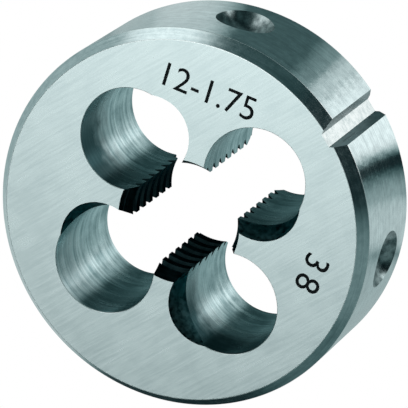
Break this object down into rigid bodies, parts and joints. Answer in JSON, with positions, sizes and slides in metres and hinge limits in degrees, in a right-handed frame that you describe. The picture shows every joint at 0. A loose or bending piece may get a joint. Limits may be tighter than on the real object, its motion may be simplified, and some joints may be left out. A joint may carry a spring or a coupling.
{
  "type": "round threading die",
  "caption": "Round steel die that cuts an outside metric coarse thread, with chip holes, a groove and conical screw seats on its rim.",
  "frame": {"origin": "centre of the back face, which the die rests on", "axes": "+Z along the thread axis towards the front face, +Y towards the adjusting groove on the rim"},
  "size_m": [0.038, 0.0379, 0.014],
  "materials": {
    "tool_steel": "ground and hardened tool steel, uncoated"
  },
  "bodies": {
    "root": {"die_body": "tool_steel"}
  },
  "joints": []
}
